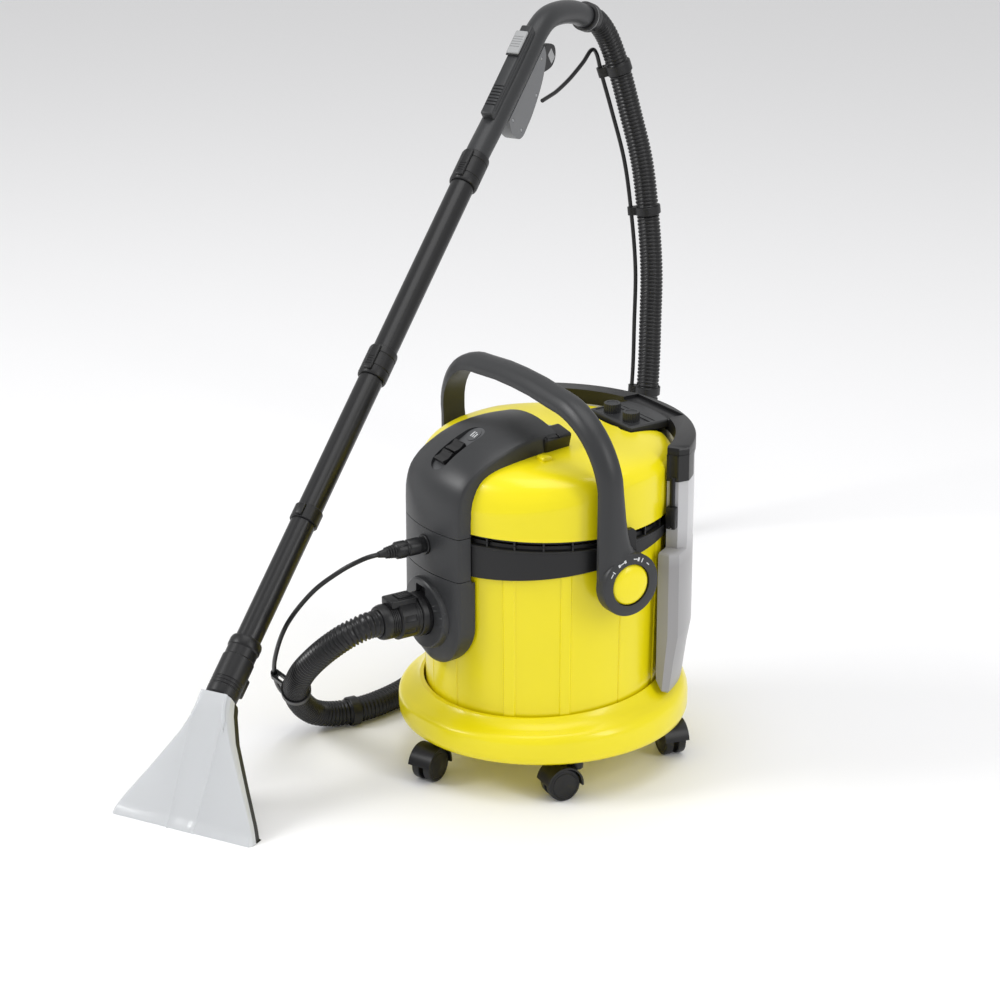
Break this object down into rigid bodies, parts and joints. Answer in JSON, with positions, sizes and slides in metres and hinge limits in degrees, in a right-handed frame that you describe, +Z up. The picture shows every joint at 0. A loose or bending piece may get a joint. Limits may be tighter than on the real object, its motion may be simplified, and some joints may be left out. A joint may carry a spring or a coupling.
{
  "type": "spray extraction vacuum cleaner",
  "caption": "Canister carpet cleaner: round tub on casters, domed motor head with bail handle, rear water tank, hose, and wand with a clear spray floor nozzle.",
  "frame": {"origin": "on the floor, under the middle of the bounding box of everything but the free hose and line", "axes": "+Z up; the canister's suction inlet faces -Y; +X to the right of someone facing the inlet from behind the machine"},
  "size_m": [0.8527, 1.2131, 0.8959],
  "materials": {
    "yellow_plastic": "moulded, satin gloss",
    "dark_grey_plastic": "moulded, satin",
    "black_plastic": "moulded, satin",
    "black_rubber": "matte",
    "clear_plastic": "clear, slightly milky",
    "translucent_grey_plastic": "translucent, fine texture",
    "light_grey_plastic": "moulded, satin",
    "steel": "plain",
    "filter_paper": "pleated"
  },
  "bodies": {
    "canister": {"base_ring": "yellow_plastic", "tub": "yellow_plastic", "tub_band": "black_plastic", "inlet_housing": "dark_grey_plastic", "inlet_collar": "black_plastic", "inlet_elbow": "black_plastic", "hose_connector": "black_plastic", "suction_hose_lower": "black_rubber", "spray_line_lower": "black_rubber"},
    "motor_head": {"head_shell": "yellow_plastic", "head_ring": "black_plastic", "cover_mid": "dark_grey_plastic", "cover_top": "dark_grey_plastic", "spray_socket": "black_plastic", "spray_plug": "black_plastic", "motor": "steel", "fan_housing": "steel", "float_cage": "dark_grey_plastic", "filter": "filter_paper", "pump": "black_plastic", "cable_gland": "black_plastic", "pivot_bracket_left": "black_plastic", "pivot_bracket_right": "black_plastic"},
    "rocker_spray": {"rocker_spray": "black_plastic"},
    "rocker_suction": {"rocker_suction": "black_plastic"},
    "fan": {"fan": "steel"},
    "float": {"float": "light_grey_plastic"},
    "handle": {"carry_handle": "dark_grey_plastic", "pivot_cap_left": "yellow_plastic", "pivot_cap_right": "yellow_plastic"},
    "tank": {"water_tank": "translucent_grey_plastic", "tank_lid": "black_plastic", "tank_coupling": "dark_grey_plastic", "cable_hook": "black_plastic"},
    "release_button": {"release_button": "black_plastic"},
    "wand": {"nozzle_cover": "clear_plastic", "nozzle_body": "black_plastic", "nozzle_neck": "black_plastic", "spray_jet": "black_plastic", "lower_tube": "black_plastic", "upper_tube": "black_plastic", "middle_coupling": "black_plastic", "upper_coupling": "black_plastic", "grip_tube": "dark_grey_plastic", "valve_housing": "light_grey_plastic", "suction_hose_upper": "black_rubber", "spray_line_upper": "black_rubber"},
    "trigger": {"trigger": "black_plastic"},
    "air_slider": {"air_slider": "light_grey_plastic"},
    "hose_cuff": {"hose_cuff": "black_plastic"},
    "swivel_1": {"caster_1_hood": "black_plastic"},
    "wheels_1": {"caster_1_wheels": "black_rubber"},
    "swivel_2": {"caster_2_hood": "black_plastic"},
    "wheels_2": {"caster_2_wheels": "black_rubber"},
    "swivel_3": {"caster_3_hood": "black_plastic"},
    "wheels_3": {"caster_3_wheels": "black_rubber"},
    "swivel_4": {"caster_4_hood": "black_plastic"},
    "wheels_4": {"caster_4_wheels": "black_rubber"},
    "swivel_5": {"caster_5_hood": "black_plastic"},
    "wheels_5": {"caster_5_wheels": "black_rubber"}
  },
  "joints": [
    {"name": "swivel_1", "type": "hinge", "parent": "canister", "child": "swivel_1", "pos_m": [0.2133, -0.12348, 0.055], "axis": [0, 0, 1], "continuous": true},
    {"name": "roll_1", "type": "hinge", "parent": "swivel_1", "child": "wheels_1", "pos_m": [0.22154, -0.14387, 0.0225], "axis": [-0.9272, -0.3746, 0], "continuous": true},
    {"name": "swivel_2", "type": "hinge", "parent": "canister", "child": "swivel_2", "pos_m": [0.36737, -0.00748, 0.055], "axis": [0, 0, 1], "continuous": true},
    {"name": "roll_2", "type": "hinge", "parent": "swivel_2", "child": "wheels_2", "pos_m": [0.36431, -0.02926, 0.0225], "axis": [-0.9903, 0.1392, 0], "continuous": true},
    {"name": "swivel_3", "type": "hinge", "parent": "canister", "child": "swivel_3", "pos_m": [0.30852, 0.18021, 0.055], "axis": [0, 0, 1], "continuous": true},
    {"name": "roll_3", "type": "hinge", "parent": "swivel_3", "child": "wheels_3", "pos_m": [0.33004, 0.17564, 0.0225], "axis": [-0.2079, -0.9781, 0], "continuous": true},
    {"name": "swivel_4", "type": "hinge", "parent": "canister", "child": "swivel_4", "pos_m": [0.11808, 0.18021, 0.055], "axis": [0, 0, 1], "continuous": true},
    {"name": "roll_4", "type": "hinge", "parent": "swivel_4", "child": "wheels_4", "pos_m": [0.09683, 0.18591, 0.0225], "axis": [0.2588, 0.9659, 0], "continuous": true},
    {"name": "swivel_5", "type": "hinge", "parent": "canister", "child": "swivel_5", "pos_m": [0.05923, -0.00748, 0.055], "axis": [0, 0, 1], "continuous": true},
    {"name": "roll_5", "type": "hinge", "parent": "swivel_5", "child": "wheels_5", "pos_m": [0.04121, -0.0201, 0.0225], "axis": [-0.5736, 0.8192, 0], "continuous": true},
    {"name": "head_lift", "type": "slide", "parent": "canister", "child": "motor_head", "axis": [0, 0, 1], "range_m": [0, 0.12]},
    {"name": "spray_switch", "type": "hinge", "parent": "motor_head", "child": "rocker_spray", "pos_m": [0.2133, -0.11185, 0.45027], "axis": [1, 0, 0], "range_deg": [-6, 6]},
    {"name": "suction_switch", "type": "hinge", "parent": "motor_head", "child": "rocker_suction", "pos_m": [0.2133, -0.0941, 0.46052], "axis": [1, 0, 0], "range_deg": [-6, 6]},
    {"name": "fan_spin", "type": "hinge", "parent": "motor_head", "child": "fan", "pos_m": [0.2133, 0.0444, 0.372], "axis": [0, 0, 1], "continuous": true},
    {"name": "float_rise", "type": "slide", "parent": "motor_head", "child": "float", "axis": [0, 0, 1], "range_m": [0, 0.015]},
    {"name": "handle_tilt", "type": "hinge", "parent": "motor_head", "child": "handle", "pos_m": [0.2133, 0.0444, 0.305], "axis": [1, 0, 0], "range_deg": [-28, 60]},
    {"name": "tank_lift", "type": "slide", "parent": "motor_head", "child": "tank", "axis": [0, 0, 1], "range_m": [0, 0.12]},
    {"name": "button_press", "type": "slide", "parent": "canister", "child": "release_button", "axis": [0, 0, -1], "range_m": [0, 0.002], "stiffness_N_per_m": 300, "springref_m": -0.001},
    {"name": "wand_lift", "type": "slide", "parent": "canister", "child": "wand", "axis": [0, 0, 1], "range_m": [0, 0.1]},
    {"name": "trigger_squeeze", "type": "hinge", "parent": "wand", "child": "trigger", "pos_m": [-0.31668, 0.38484, 0.82547], "axis": [0.8729, 0.4879, 0], "range_deg": [0, 12], "stiffness_Nm_per_rad": 0.05, "springref_deg": -11.46},
    {"name": "air_slide", "type": "slide", "parent": "wand", "child": "air_slider", "axis": [0.3813, -0.6822, -0.6239], "range_m": [0, 0.012]},
    {"name": "cuff_turn", "type": "hinge", "parent": "wand", "child": "hose_cuff", "pos_m": [-0.39013, 0.51626, 0.85832], "axis": [-0.4589, 0.8211, -0.3395], "continuous": true}
  ]
}
